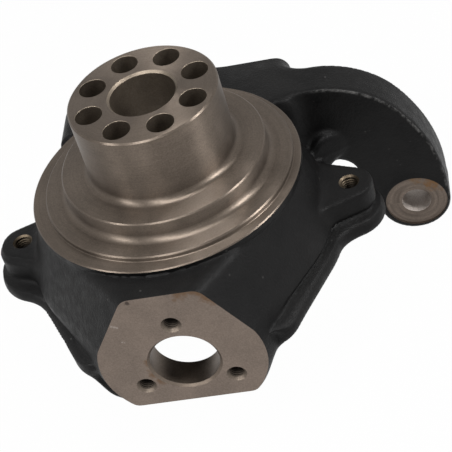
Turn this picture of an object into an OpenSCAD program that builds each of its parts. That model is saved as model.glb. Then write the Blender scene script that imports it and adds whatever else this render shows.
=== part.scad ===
// Swivel housing of a tractor's driven front axle, cast in one piece with its
// spindle, its two kingpin bosses, two stop screw ears and the steering arm.
// +Z is the spindle's axis, pointing outboard. Y is the kingpin axis and the
// arm is on the +Y side. The eye of the arm is on the +X side. The origin is
// where the kingpin axis crosses the spindle's axis.

/* [Spindle] */
// Diameter of the bearing seat
spindle_d = 105; // [98:1:112]
// Length of the spindle above the seal seat
spindle_len = 52.5; // [50:0.5:70]
// Chamfer at the end face
spindle_edge = 1.2; // [0.4:0.1:2]
// Fillet where the spindle meets the seal seat
spindle_fillet = 5; // [3:0.5:7]
// Diameter of the bore for the axle shaft
axle_bore_d = 46; // [40:1:48]
// Chamfer at the mouth of that bore
axle_bore_edge = 1.6; // [0.6:0.1:2.5]
// Diameter of the bearing pocket behind the bore
bearing_pocket_d = 62; // [52:1:68]
// Depth of the bearing pocket above the seal pocket
bearing_pocket_h = 22; // [12:1:26]
// Diameter of the seal pocket, open to the bell
seal_pocket_d = 80; // [72:1:90]
// Depth of the seal pocket above the ceiling of the bell
seal_pocket_h = 12; // [6:1:14]

/* [Carrier bolts] */
// Number of bolt holes in the end face
carrier_count = 8; // [4:1:8]
// Diameter of the circle through them
carrier_pcd = 77.5; // [74:0.5:80]
// Angle of the first hole from the X axis
carrier_phase = 23; // [0:1:45]
// Diameter of the plain seat for the locating bush
carrier_bush_d = 19; // [15:0.5:20]
// Depth of that seat
carrier_bush_h = 24; // [16:1:26]
// Diameter of the tapped hole below it
carrier_tap_d = 12; // [8:0.5:14]
// Depth of the tapped hole from the end face
carrier_tap_h = 46; // [34:1:46]

/* [Shoulders] */
// Diameter of the seal seat
seal_seat_d = 145.6; // [140:0.2:152]
// Height of the seal seat above the brake plateau
seal_seat_h = 14.6; // [10:0.2:18]
// Diameter of the brake plateau
plateau_d = 177.8; // [170:0.2:184]
// Height of the plateau above the rim
plateau_h = 3.9; // [2:0.1:6]
// Fillet under the seal seat
shoulder_fillet = 5; // [2:0.5:7]
// Chamfer on the shoulders
shoulder_edge = 1; // [0.4:0.1:1.6]
// Height of the machined rim above the kingpin axis
rim_z = 69; // [68:0.5:74]
// Diameter of the cast rim
rim_d = 193; // [190:0.5:200]
// Height of the straight side of the rim
rim_h = 6; // [4:0.5:10]
// Shift of the casting off the turned axis, along X
rim_shift_x = -2.4; // [-3:0.1:3]
// Shift of the casting off the turned axis, along Y
rim_shift_y = -1.8; // [-3:0.1:3]

/* [Bell] */
// Diameter of the bell just under the rim
bell_top_d = 187; // [182:1:189]
// Diameter of the bell just above the lip
bell_skirt_d = 220; // [212:1:226]
// Shift of the bell's wall above the lip, off its bosses, along X
wall_shift_x = -1.8; // [-2.4:0.1:1]
// Thickness of the bell's wall
bell_wall = 15; // [11:0.5:18]
// Height of the ceiling inside the bell
ceiling_z = 47; // [42:1:49]
// Level of the top of the lip round the open side
lip_h = 10; // [8:0.5:14]
// How far the foot of the lip stands out
lip_out = 4.6; // [3:0.2:7]
// How far the foot of the lip stands out beside a kingpin boss
lip_boss_out = 9.8; // [5:0.5:11]
// Height of the groove above the lip
groove_h = 3.4; // [2.4:0.2:5]
// Depth of the groove above the lip
groove_deep = 2; // [1:0.2:2.6]
// Distance from the spindle axis to the tip of the lip under each ear
lobe_tip = 142.8; // [139:0.2:146]
// Radius of the lip under the ear on the +X side
lobe_r_right = 25.5; // [23:0.5:34]
// Radius of the lip under the ear on the -X side
lobe_r_left = 34; // [23:0.5:40]
// Level of the open side, beside the kingpin bosses
mouth_z = -2; // [-6:0.5:4]
// Gap from the round of the boss to the mouth, on the +X side
mouth_gap_right = 0.5; // [0.5:0.5:10]
// Gap from the round of the boss to the mouth, on the -X side
mouth_gap_left = 3; // [0.5:0.5:10]
// Fillet at the corners of the mouth
mouth_fillet = 16; // [6:1:16]

/* [Kingpin bosses] */
// Distance across the two machined faces
kingpin_span = 235; // [230:1:244]
// Diameter of the bore in each boss
kingpin_bore_d = 47.6; // [40:0.2:52]
// Chamfer at the mouth of that bore
kingpin_bore_edge = 1.7; // [0.6:0.1:2.5]
// Thickness of the wall that the bore goes through
kingpin_wall = 21.6; // [18:0.2:24]
// Number of tapped holes round the bore
kingpin_tap_count = 3; // [3:1:6]
// Diameter of the circle through them
kingpin_tap_pcd = 73; // [70:0.5:78]
// Drill diameter of the tapped holes
kingpin_tap_d = 10.2; // [6:0.1:12]
// Depth of the tapped holes
kingpin_tap_h = 17; // [10:1:17]
// Diameter of their countersinks
kingpin_sink_d = 14; // [12.4:0.1:16]
// Diameter of the round part of the machined face
boss_d = 115; // [110:1:122]
// Depth to which that round part would reach below the kingpin axis
boss_deep = 53.5; // [52:0.5:60]
// Level of the flat top of the boss
boss_top_z = 65; // [60:0.5:65]
// Level of the flat bottom of the boss
boss_bottom_z = -37.5; // [-44:0.5:-34]
// Width of the machined face at its top
boss_top_w = 49.6; // [40:0.2:60]
// Slope of the face's sides from there to the round part
boss_slope = 0.65; // [0.5:0.01:0.8]

/* [Stop screw ears] */
// Distance of each ear's hole from the spindle axis
ear_reach = 120.4; // [116:0.2:128]
// How far the two ears are staggered along Y
ear_stagger = 9.7; // [0:0.1:14]
// Radius of the ear's nose
ear_nose_r = 16.5; // [13:0.5:18]
// Level of the top of the ear
ear_top_z = 30; // [22:1:36]
// Spread of the ear's sides toward the bell
ear_flare = 0.42; // [0.2:0.02:0.6]
// Drill diameter of the stop screw's hole
ear_tap_d = 12; // [8:0.5:14]
// Diameter of its countersink
ear_sink_d = 14.6; // [14.2:0.1:16]

/* [Steering arm] */
// Distance of the arm's near face from the spindle axis
arm_y = 70; // [66:1:76]
// Thickness of the arm
arm_t = 30.5; // [25:0.5:34]
// Rounding of the arm's long edges
arm_edge = 2.5; // [1:0.5:5]
// Where the arm's outer side starts to curve down
arm_bend_x = 98; // [92:1:102]
// Radius of the first bend of the outer side
arm_bend_r = 76; // [70:1:80]
// Angle through which that bend turns
arm_bend_turn = 56; // [46:1:60]
// Radius of the crook, where the arm's inner side leaves the bell
crook_r = 17; // [12:0.2:22]
// Distance of the crook's centre from the spindle axis
crook_x = 104; // [102:1:110]
// Level of the crook's centre, below the kingpin axis
crook_z = -21; // [-26:0.2:-16]
// Diameter of the raised pad above the crook
pad_d = 25; // [18:1:28]
// How far the pad stands out
pad_h = 7; // [4:0.5:9]
// Rounding of the pad's edge
pad_edge = 4; // [2:0.5:5]
// Distance of the pad's middle from the crook's, along X
pad_shift_x = 0; // [-2:0.5:4]
// Distance of the pad's middle from the crook's, along Z
pad_up = 34; // [28:0.5:37]
// Radius of the pad's foot, low down beside the bell
pad_foot_r = 7; // [5:0.5:8]
// Distance of the eye from the spindle axis
eye_x = 159; // [150:1:165]
// Level of the eye, below the kingpin axis
eye_z = -56.4; // [-64:0.2:-50]
// Diameter of the eye
eye_d = 54; // [51:0.2:58]
// Shift of the cast eye off its hole, along X
eye_shift_x = -1.1; // [-1.5:0.1:1.5]
// Shift of the cast eye off its hole, along Z
eye_shift_z = -0.3; // [-1.5:0.1:1.5]
// Diameter of the spot face on the eye
eye_spot_d = 47; // [40:1:47]
// Depth of the spot face
eye_spot_h = 0.8; // [0.4:0.1:2]
// Diameter of the taper hole at the spot face
eye_hole_d = 21.8; // [18:0.2:26]
// Taper of that hole, as change of diameter over length
eye_taper = 0.1; // [0.05:0.01:0.14]

/* [Arm block] */
// Distance of the block's side from the spindle axis, away from the arm
block_left = 91.5; // [84:0.5:93]
// Distance of its other side, under the arm
block_right = 83; // [76:1:86]
// Radius of the block's upper corners
block_corner_r = 12; // [6:1:16]
// Level where the block's sides turn inward
block_low_z = 22; // [14:1:28]
// Distance from the spindle axis at which the block has run into the bell
block_y = 40; // [34:1:46]

/* [Hidden] */
$fn = 96;

cast_black = [0.14, 0.14, 0.15];
cut = 1;
reach = 400;
flank_points = 25;
end_points = 5;
face_y = kingpin_span / 2;
inner_y = face_y - kingpin_wall;
plateau_z = rim_z + plateau_h;
seal_z = plateau_z + seal_seat_h;
end_z = seal_z + spindle_len;
boss_r = boss_d / 2;
bell_base_z = rim_z - rim_h;
cast_spare = 4;
boss_taper = 0.6;
plateau_fillet = 0.8;
rim_draft = 4;
arm_drop = 0.1;
arm_root_x = 62;
arm_steps = 6;
eye_proud = 0.3;
cast_shift_x = rim_shift_x / 2;
wall_z = lip_h + groove_h;
lip_flat = 0.2;
boss_corner_r = 5;
foot_r = 5;
foot_h = 16;
groove_end = 8;
ear_edge = 2;
pad_lean = 0.5;
pad_deep = 4;
pad_foot = [-16, 18];
half_root = sqrt(0.5);

// Larger of two lengths, with the corner between them rounded over k
function soft_max(a, b, k) = max(a, b) + pow(max(k - abs(a - b), 0) / k, 2) * k / 4;

// Point at an angle on a circle
function at(angle, r) = [r * cos(angle), r * sin(angle)];

// Points of an arc, both ends included
function arc(centre, r, from, to, steps) =
    [for (i = [0:steps]) centre + at(from + (to - from) * i / steps, r)];

// Half width of the machined kingpin face at a level
function boss_half_w(z) =
    let (
        up = min(max(z - boss_top_z + boss_corner_r, 0), boss_corner_r),
        rounding = boss_corner_r - sqrt(pow(boss_corner_r, 2) - up * up),
        sloped = boss_top_w / 2 + (boss_top_z - z) * boss_slope - rounding,
        round_h = z < 0 ? boss_deep : boss_r
    )
    z > boss_r * half_root ? sloped : min(boss_r * sqrt(1 - pow(z / round_h, 2)), sloped);

// Angle at which a taut line from a corner touches a circle
function touch_angle(r, corner) = atan2(corner.y, corner.x) - acos(min(r / norm(corner), 1));

// Reach at an angle of a circle wrapped, with four outlying corners, by a taut line
function wrapped_reach(angle, r, corner) =
    let (
        side = [abs(cos(angle)), abs(sin(angle))],
        past = atan2(side.y, side.x) - touch_angle(r, corner)
    )
    past <= 0 ? r : min(r / cos(min(past, 89)), corner.y / side.y);

// Angles all round, with more of them on the flat ends between the corners
function ring_angles(corner) =
    let (
        a = atan2(corner.y, corner.x),
        quarter = concat(
            [for (i = [0:flank_points - 1]) a * i / flank_points],
            [for (i = [0:end_points - 1]) a + (90 - a) * i / end_points]
        ),
        n = len(quarter)
    )
    concat(
        quarter,
        [for (i = [0:n - 1]) i == 0 ? 90 : 180 - quarter[n - i]],
        [for (q = quarter) 180 + q],
        [for (i = [0:n - 1]) i == 0 ? 270 : 360 - quarter[n - i]]
    );

// Reach at an angle of a nose that stands out along +X, centred at [x0, y0]
function nose_reach(angle, x0, y0, nose_r, flare) =
    let (
        u = at(angle, 1),
        across = x0 * u.y - y0 * u.x,
        chord = nose_r * nose_r - across * across,
        tip = chord > 0 ? x0 * u.x + y0 * u.y + sqrt(chord) : 0,
        turn = abs(atan2(u.y * tip - y0, u.x * tip - x0)),
        base = nose_r * sqrt(1 + flare * flare) + flare * x0,
        upper = (base + y0) / max(flare * u.x + u.y, 0.01),
        lower = (base - y0) / max(flare * u.x - u.y, 0.01)
    )
    u.x < 0.5 ? 0 : chord > 0 && turn < 90 - atan(flare) ? tip : min(upper, lower);

// Reach at an angle of the lip under an ear on the +X side, drawn in by d
function lobe_reach(angle, r, d) =
    nose_reach(angle, lobe_tip - r, ear_stagger / 2, r - d, ear_flare);

// Share of its full width that the lip has at a level, rounded over toward its top
function lip_share(z) =
    z < mouth_z - foot_h / 2 ? 0 : sqrt(1 - pow(min(max(z / lip_h - lip_flat, 0), 0.8) / 0.82, 2));

// Radius of the bell's wall at an angle and a level
function bell_r(angle, z) =
    let (share = min(max((z - wall_z) / (bell_base_z - wall_z), 0), 1))
    bell_skirt_d / 2 + (bell_top_d - bell_skirt_d) / 2 * share
        + (z > lip_h ? wall_shift_x * cos(angle) : 0);

// Reach at an angle of the neck between the lip and the plate of an ear on the +X side
function neck_reach(angle) =
    nose_reach(angle, ear_reach, ear_stagger / 2, ear_nose_r - groove_deep, ear_flare);

// Outer corner of the kingpin boss at a level, on the cast face before it is machined
function boss_corner(z) =
    [max(boss_half_w(z) - cast_spare * boss_taper, 4), face_y + cast_spare];

// Reach of the casting at an angle and a level
function cast_reach(angle, z) =
    let (
        body = wrapped_reach(angle, bell_r(angle, z), boss_corner(z)),
        share = lip_share(z),
        lip = wrapped_reach(angle, bell_r(angle, z) + lip_out * share,
            boss_corner(z) + [lip_boss_out * share, 0]),
        past = lip * abs(sin(angle)) - face_y + foot_r,
        fade = past < 0 ? 1 : sqrt(max(1 - pow(past / foot_r, 2), 0)),
        dent = z < wall_z ? groove_deep * min(max(-past / groove_end - 1, 0), 1) : 0,
        inset = lip_out * (1 - share),
        lobe = max(lobe_reach(angle, lobe_r_right, inset), lobe_reach(angle + 180, lobe_r_left, inset / 3)),
        neck = max(neck_reach(angle), neck_reach(angle + 180))
    )
    share > 0 && z <= lip_h ? soft_max(body + (lip - body) * fade, lobe, 10)
        : z > lip_h && z <= wall_z ? soft_max(body - dent, neck, 6) : body;

// Radius of the hollow at a share of the ceiling's height, and its corner at a boss
function hollow_r(share) = (bell_skirt_d / 2 - bell_wall) * (1 - 0.36 * pow(share, 3));
function hollow_corner(share) =
    [(boss_r - bell_wall) * (1 - 0.45 * pow(share, 2)),
        max(inner_y - (inner_y - hollow_r(share) + 3) * pow(share, 3), hollow_r(share) + 0.5)];

// Outline pulled inward by d, for an outline that runs anticlockwise
function inset(points, d) =
    let (n = len(points))
    [for (i = [0:n - 1])
        let (
            before = points[i] - points[(i + n - 1) % n],
            after = points[(i + 1) % n] - points[i],
            n1 = [-before.y, before.x] / norm(before),
            n2 = [-after.y, after.x] / norm(after)
        )
        points[i] + d * (n1 + n2) / (1 + n1 * n2)];

// Middle of the box round a ring of points
function middle(ring) =
    [for (k = [0:2])
        let (values = [for (p = ring) p[k]])
        (min(values) + max(values)) / 2];

// Solid skin through rings of points that run anticlockwise, closed at both ends
module skin(rings) {
    n = len(rings[0]);
    last = len(rings) - 1;
    low = (last + 1) * n;
    polyhedron(
        points = concat([for (ring = rings) each ring], [middle(rings[0]), middle(rings[last])]),
        faces = concat(
            [for (j = [0:last - 1], i = [0:n - 1])
                [j * n + i, (j + 1) * n + i, j * n + (i + 1) % n]],
            [for (j = [0:last - 1], i = [0:n - 1])
                [j * n + (i + 1) % n, (j + 1) * n + i, (j + 1) * n + (i + 1) % n]],
            [for (i = [0:n - 1]) [low, i, (i + 1) % n]],
            [for (i = [0:n - 1]) [low + 1, last * n + (i + 1) % n, last * n + i]]
        )
    );
}

// Plate on a convex outline, with its edges rounded
module rounded_plate(outline, t, edge_r) {
    corner = edge_r * (1 - half_root);
    rise = [0, corner, edge_r];
    skin(concat(
        [for (i = [0:2]) [for (p = inset(outline, rise[2 - i])) [p.x, p.y, rise[i]]]],
        [for (i = [0:2]) [for (p = inset(outline, rise[i])) [p.x, p.y, t - rise[2 - i]]]]
    ));
}

// Turns a shape drawn in X and Y, and rising along Z, to X and Z, rising along Y from y
module lay_along_y(y) {
    translate([0, y, 0]) rotate([90, 0, 0]) mirror([0, 0, 1]) children();
}

// The cast bell with its lip and kingpin bosses
module bell() {
    span = bell_base_z - wall_z;
    levels = [boss_bottom_z, boss_bottom_z * 0.7, mouth_z - foot_h, mouth_z, lip_h * lip_flat, lip_h * 0.6, lip_h * 0.85, lip_h,
        lip_h + groove_h * 0.3, lip_h + groove_h * 0.75, wall_z, wall_z + ear_edge,
        wall_z + span * 0.35, wall_z + span * 0.7, bell_base_z - 2, boss_top_z - boss_corner_r / 2,
        boss_top_z - 1, boss_top_z];
    skin([for (z = levels)
        [for (a = ring_angles(boss_corner(z)))
            concat(at(a, cast_reach(a, z) - (z == boss_top_z ? 1.5 : 0)) + [cast_shift_x, 0], z)]]);
}

// The space inside the bell, open at the back
module hollow() {
    shares = [-1, 0, 0.3, 0.5, 0.65, 0.8, 0.92, 1];
    skin([for (s = shares)
        let (r = hollow_r(max(s, 0)), corner = hollow_corner(max(s, 0)))
        [for (a = ring_angles(corner)) concat(at(a, wrapped_reach(a, r, corner)), s * ceiling_z)]]);
}

// Spindle, seal seat and plateau, turned to one profile
module turned_front() {
    seat_r = seal_seat_d / 2;
    plateau_r = plateau_d / 2;
    spindle_r = spindle_d / 2;
    rotate_extrude($fn = 144) polygon(concat(
        [[0, bell_base_z], [plateau_r + plateau_fillet, bell_base_z], [plateau_r + plateau_fillet, rim_z]],
        arc([plateau_r + plateau_fillet, rim_z + plateau_fillet], plateau_fillet, 270, 180, 2),
        [[plateau_r, plateau_z - shoulder_edge], [plateau_r - shoulder_edge, plateau_z]],
        arc([seat_r + shoulder_fillet, plateau_z + shoulder_fillet], shoulder_fillet, 270, 180, 5),
        [[seat_r, seal_z - shoulder_edge], [seat_r - shoulder_edge, seal_z]],
        arc([spindle_r + spindle_fillet, seal_z + spindle_fillet], spindle_fillet, 270, 180, 5),
        [[spindle_r, end_z - spindle_edge], [spindle_r - spindle_edge, end_z], [0, end_z]]
    ));
}

// The cast disc behind the machined rim
module rim() {
    translate([rim_shift_x, rim_shift_y, bell_base_z - rim_draft])
        cylinder(h = rim_draft, d1 = rim_d - 2 * rim_draft, d2 = rim_d);
    translate([rim_shift_x, rim_shift_y, bell_base_z]) cylinder(h = rim_h, d = rim_d);
}

// Upper column of a stop screw ear, pointing along +X
module ear_column() {
    spread = atan(ear_flare);
    root_x = bell_skirt_d / 2 - bell_wall - 2;
    half_w = ear_nose_r * sqrt(1 + ear_flare * ear_flare) + ear_flare * (ear_reach - root_x);
    outline = concat(
        [[root_x, ear_stagger / 2 - half_w]],
        arc([ear_reach, ear_stagger / 2], ear_nose_r, spread - 90, 90 - spread, 10),
        [[root_x, ear_stagger / 2 + half_w]]
    );
    low = wall_z - ear_edge / 2;
    translate([0, 0, low]) rounded_plate(outline, ear_top_z - low, ear_edge);
}

// Outline of the block that carries the arm, in X and Z, between its two sides
function block_outline(left, right) =
    let (r = block_corner_r, corner_z = boss_top_z - r)
    concat(
        arc([right - r, corner_z], r, 0, 90, 4),
        arc([r + left, corner_z], r, 90, 180, 4),
        [[left + 1, block_low_z], [-boss_r, -6], [-boss_r * 0.75, boss_bottom_z]],
        [[boss_r * 0.75, boss_bottom_z], [boss_r, -6], [right - 1, block_low_z]]
    );

// The block on the +Y boss, with its sides faired into the bell
module arm_block() {
    sides = [
        [face_y, -block_left + 2, block_right],
        [face_y - 20, -block_left, block_right + 2],
        [arm_y - 6, -block_left, block_right],
        [block_y, -bell_top_d / 2 * 0.8, bell_top_d / 2 * 0.8]
    ];
    skin([for (s = sides)
        [for (p = block_outline(s[1], s[2])) [p.x, s[0], p.y]]]);
}

// Where a straight line that crosses between two circles leaves the first one
function crossing_angle(c1, r1, c2, r2) =
    let (d = c2 - c1) atan2(d.y, d.x) + acos((r1 + r2) / norm(d));

// Outer side of the arm, in X and Z, from the bell to the level of the eye
function arm_outer() =
    let (
        top_z = boss_top_z - arm_drop,
        side_x = eye_x + eye_shift_x + eye_d / 2 - eye_proud,
        turn = 90 - arm_bend_turn,
        c1 = [arm_bend_x, top_z - arm_bend_r],
        p = c1 + at(turn, arm_bend_r),
        r2 = (side_x - p.x) / (1 - cos(turn)),
        c2 = p - at(turn, r2),
        low = asin(max((eye_z - c2.y) / r2, -1))
    )
    concat(
        [[arm_root_x, top_z]],
        arc(c1, arm_bend_r, 90, turn, arm_steps),
        [for (i = [1:arm_steps]) c2 + at(turn + (low - turn) * i / arm_steps, r2)]
    );

// Inner side of the arm, with a point for each one of the outer side
function arm_inner() =
    let (
        crook = [crook_x, crook_z],
        eye = [eye_x + eye_shift_x, eye_z + eye_shift_z],
        leave = crossing_angle(crook, crook_r, eye, eye_d / 2),
        from = crook + at(leave, crook_r),
        to = eye - at(leave, eye_d / 2 - eye_proud)
    )
    concat(
        [[arm_root_x, crook_z + crook_r]],
        arc(crook, crook_r, 95, leave, arm_steps),
        [for (i = [1:arm_steps]) from + (to - from) * i / arm_steps]
    );

// Ring of points round the arm between a point of its outer side and one of its inner side
function arm_ring(outer, inner) =
    let (
        w = norm(inner - outer),
        dir = (inner - outer) / w,
        r = arm_edge,
        c = r * (1 - half_root),
        t = arm_t
    )
    [for (p = [[w - r, 0], [w - c, c], [w, r], [w, t - r], [w - c, t - c], [w - r, t],
            [r, t], [c, t - c], [0, t - r], [0, r], [c, c], [r, 0]])
        let (q = outer + dir * p.x)
        [q.x, arm_y + p.y, q.y]];

// The steering arm up to its eye
module arm() {
    outer = arm_outer();
    inner = arm_inner();
    skin([for (i = [0:len(outer) - 1]) arm_ring(outer[i], inner[i])]);
}

// Round eye at the end of the arm, a little proud of it all round
module eye() {
    r = eye_d / 2;
    e = arm_edge;
    low = -eye_proud;
    high = arm_t + eye_proud;
    translate([eye_x + eye_shift_x, 0, eye_z + eye_shift_z]) lay_along_y(arm_y)
        rotate_extrude() polygon(concat(
            [[0, low]],
            arc([r - e, low + e], e, 270, 360, 4),
            arc([r - e, high - e], e, 0, 90, 4),
            [[0, high]]
        ));
}

// Angles at which a taut band round two circles leaves the first one for the second and comes back
function band_angles(c1, r1, c2, r2) =
    let (d = c2 - c1, turn = acos((r1 - r2) / norm(d)), way = atan2(d.y, d.x) + 360)
    [way - turn, way + turn];

// Raised round pad on the arm's near side above the crook, with a foot toward the bell,
// and with its face leaning back toward the eye
module arm_pad() {
    corner = pad_edge * (1 - half_root);
    rise = [0, corner, pad_edge];
    head = [crook_x + pad_shift_x, crook_z + pad_up];
    foot = [crook_x, crook_z] + pad_foot;
    leave = band_angles(head, pad_d / 2, foot, pad_foot_r);
    outline = concat(
        arc(head, pad_d / 2, leave.y - 360, leave.x, 20),
        arc(foot, pad_foot_r, leave.x, leave.y, 10)
    );
    lay_along_y(arm_y - pad_h) skin(concat(
        [for (i = [0:2]) [for (p = inset(outline, rise[2 - i]))
            [p.x, p.y, rise[i] + pad_lean * (p.x - crook_x)]]],
        [[for (p = outline) [p.x, p.y, pad_h + pad_deep + pad_lean * (p.x - crook_x)]]]
    ));
}

// Bore for the axle shaft, with the pockets for its bearing and seal
module axle_bores() {
    r = axle_bore_d / 2;
    e = axle_bore_edge;
    seal_floor = ceiling_z + seal_pocket_h;
    translate([0, 0, end_z - e]) cylinder(h = e + cut, r1 = r, r2 = r + e + cut);
    translate([0, 0, ceiling_z - 2 * cut]) cylinder(h = end_z, d = axle_bore_d);
    translate([0, 0, ceiling_z - 2 * cut]) cylinder(h = seal_pocket_h + 2 * cut, d = seal_pocket_d);
    translate([0, 0, seal_floor - cut]) cylinder(h = bearing_pocket_h + cut, d = bearing_pocket_d);
}

// Bolt holes in the end face, each with a seat for its bush
module carrier_holes() {
    for (i = [0:carrier_count - 1])
        rotate(carrier_phase + 360 * i / carrier_count) translate([carrier_pcd / 2, 0, 0]) {
            translate([0, 0, end_z - carrier_bush_h])
                cylinder(h = carrier_bush_h + cut, d = carrier_bush_d, $fn = 48);
            translate([0, 0, end_z - carrier_tap_h])
                cylinder(h = carrier_tap_h, d = carrier_tap_d, $fn = 32);
        }
}

// Kingpin bore and tapped holes of one boss, drilled from the face at y = 0 toward +Y
module kingpin_drilling() {
    r = kingpin_bore_d / 2;
    e = kingpin_bore_edge;
    sink_h = (kingpin_sink_d - kingpin_tap_d) / 2;
    lay_along_y(-cut) {
        cylinder(h = kingpin_wall + 4 * cut, d = kingpin_bore_d);
        cylinder(h = e + cut, r1 = r + e + cut, r2 = r);
        for (i = [0:kingpin_tap_count - 1])
            rotate(90 + 360 * i / kingpin_tap_count) translate([kingpin_tap_pcd / 2, 0, 0]) {
                cylinder(h = kingpin_tap_h + cut, d = kingpin_tap_d, $fn = 32);
                cylinder(h = sink_h + cut, d1 = kingpin_sink_d + 2 * cut, d2 = kingpin_tap_d, $fn = 32);
            }
    }
}

// Round thrust face turned inside one boss, toward +Y from y = 0
module thrust_face() {
    lay_along_y(kingpin_wall) cylinder(h = 12, r = kingpin_bore_d / 2 + 9);
}

// Everything that is cut at one kingpin boss, on the -Y side
module kingpin_cuts() {
    translate([0, -face_y, 0]) {
        kingpin_drilling();
        thrust_face();
        translate([-reach / 2, -reach, -reach / 2]) cube(reach);
    }
}

// Hole for a stop screw, through the ear on the +X side
module ear_hole() {
    sink_h = (ear_sink_d - ear_tap_d) / 2;
    translate([ear_reach, ear_stagger / 2, 0]) {
        translate([0, 0, mouth_z - cut])
            cylinder(h = ear_top_z - mouth_z + 2 * cut, d = ear_tap_d, $fn = 48);
        translate([0, 0, ear_top_z - sink_h])
            cylinder(h = sink_h + cut, d1 = ear_tap_d, d2 = ear_sink_d + 2 * cut, $fn = 48);
    }
}

// Spot face and taper hole of the eye
module eye_cuts() {
    translate([eye_x, 0, eye_z]) {
        lay_along_y(arm_y - pad_h) cylinder(h = pad_h + eye_spot_h, d = eye_spot_d);
        lay_along_y(arm_y - cut)
            cylinder(h = arm_t + 2 * cut, d1 = eye_hole_d, d2 = eye_hole_d - eye_taper * arm_t);
    }
}

// What is open beside the kingpin bosses on the +X side, past a gap from their round part
module mouth_side(gap) {
    r = boss_r + gap;
    x0 = r + mouth_fillet;
    low = 2 * boss_bottom_z;
    round_boss = [for (i = [1:5]) at(-asin((mouth_fillet - mouth_z) / r) - 7 * i, r)];
    lay_along_y(-reach / 2) linear_extrude(reach) polygon(concat(
        arc([x0, mouth_z - mouth_fillet], mouth_fillet, 90, 180, 4),
        round_boss,
        [[round_boss[4].x, low], [reach / 2, low], [reach / 2, mouth_z]]
    ));
}

module swivel_housing() {
    color(cast_black) difference() {
        union() {
            difference() {
                bell();
                mouth_side(mouth_gap_right);
                mirror([1, 0, 0]) mouth_side(mouth_gap_left);
            }
            rim();
            turned_front();
            ear_column();
            rotate(180) ear_column();
            arm_block();
            arm();
            eye();
            arm_pad();
        }
        hollow();
        axle_bores();
        carrier_holes();
        kingpin_cuts();
        rotate(180) kingpin_cuts();
        ear_hole();
        rotate(180) ear_hole();
        eye_cuts();
    }
}

swivel_housing();
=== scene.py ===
"""Looks of the swivel housing: one smooth casting with fillets, machined where the real one is."""

import math

import bpy
import numpy as np
import openvdb
from mathutils import Matrix, Vector


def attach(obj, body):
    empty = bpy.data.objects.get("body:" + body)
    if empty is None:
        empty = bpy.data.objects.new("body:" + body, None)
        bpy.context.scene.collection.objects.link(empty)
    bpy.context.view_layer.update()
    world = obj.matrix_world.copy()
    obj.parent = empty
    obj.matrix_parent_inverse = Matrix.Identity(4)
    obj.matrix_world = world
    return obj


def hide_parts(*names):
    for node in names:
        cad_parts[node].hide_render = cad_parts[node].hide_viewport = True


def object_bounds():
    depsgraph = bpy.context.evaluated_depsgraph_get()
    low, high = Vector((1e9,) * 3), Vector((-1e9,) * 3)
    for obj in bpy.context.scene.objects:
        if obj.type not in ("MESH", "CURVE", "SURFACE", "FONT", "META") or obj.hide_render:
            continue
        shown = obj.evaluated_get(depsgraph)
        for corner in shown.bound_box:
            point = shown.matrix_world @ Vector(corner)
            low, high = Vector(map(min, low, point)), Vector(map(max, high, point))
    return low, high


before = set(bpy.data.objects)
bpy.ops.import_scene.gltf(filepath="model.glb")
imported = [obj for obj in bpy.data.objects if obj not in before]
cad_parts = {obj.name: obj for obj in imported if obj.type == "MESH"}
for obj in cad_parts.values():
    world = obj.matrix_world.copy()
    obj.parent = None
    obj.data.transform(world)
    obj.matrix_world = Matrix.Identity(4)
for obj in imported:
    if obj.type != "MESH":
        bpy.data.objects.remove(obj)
cad_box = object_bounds()

# Sizes in millimetres, as in the part's source: spindle and its bores
SPINDLE_R, SPINDLE_LEN, SPINDLE_FILLET, SPINDLE_EDGE = 52.5, 52.5, 5.0, 1.2
AXLE_R, AXLE_EDGE = 23.0, 1.6
BEARING_R, BEARING_H = 31.0, 22.0
SEAL_POCKET_R, SEAL_POCKET_H = 40.0, 12.0
CARRIER_N, CARRIER_PCR, CARRIER_PHASE = 8, 38.75, 23.0
BUSH_R, BUSH_H, CARRIER_TAP_R, CARRIER_TAP_H = 9.5, 24.0, 6.0, 46.0
# Shoulders and rim
RIM_Z, RIM_R, RIM_H = 69.0, 96.5, 6.0
PLATEAU_R, PLATEAU_H, SEAL_R, SEAL_H = 88.9, 3.9, 72.8, 14.6
SHOULDER_FILLET, SHOULDER_EDGE, FOOT_FILLET = 5.0, 1.0, 0.8
SHIFT_X, SHIFT_Y = -2.4, -1.8
RIM_LOW = RIM_Z - RIM_H
PLATEAU_Z = RIM_Z + PLATEAU_H
SEAL_Z = PLATEAU_Z + SEAL_H
END_Z = SEAL_Z + SPINDLE_LEN
# Bell and its lip
BELL_TOP_R, BELL_SKIRT_R, BELL_WALL, CEILING_Z = 93.5, 110.0, 15.0, 47.0
WALL_SHIFT_X, LIP_H, LIP_OUT, LIP_FLAT = -1.8, 10.0, 4.6, 0.2
GROOVE_H, GROOVE_DEEP = 3.4, 2.0
LOBE_TIP, LOBE_R_RIGHT, LOBE_R_LEFT = 142.8, 25.5, 34.0
MOUTH_Z = -2.0
WALL_Z = LIP_H + GROOVE_H
# Kingpin bosses
FACE_Y, KINGPIN_R, KINGPIN_EDGE, KINGPIN_WALL = 117.5, 23.8, 1.7, 21.6
KINGPIN_TAP_N, KINGPIN_TAP_PCR, KINGPIN_TAP_R = 3, 36.5, 5.1
KINGPIN_TAP_H, KINGPIN_SINK_R = 17.0, 7.0
BOSS_R, BOSS_DEEP, BOSS_TOP_Z, BOSS_LOW_Z, BOSS_TOP_W, BOSS_SLOPE = 57.5, 53.5, 65.0, -37.5, 49.6, 0.65
INNER_Y = FACE_Y - KINGPIN_WALL
# Stop screw ears
EAR_X, EAR_Y, EAR_R, EAR_TOP, EAR_FLARE = 120.4, 4.85, 16.5, 30.0, 0.42
EAR_TAP_R, EAR_SINK_R = 6.0, 7.3
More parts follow.
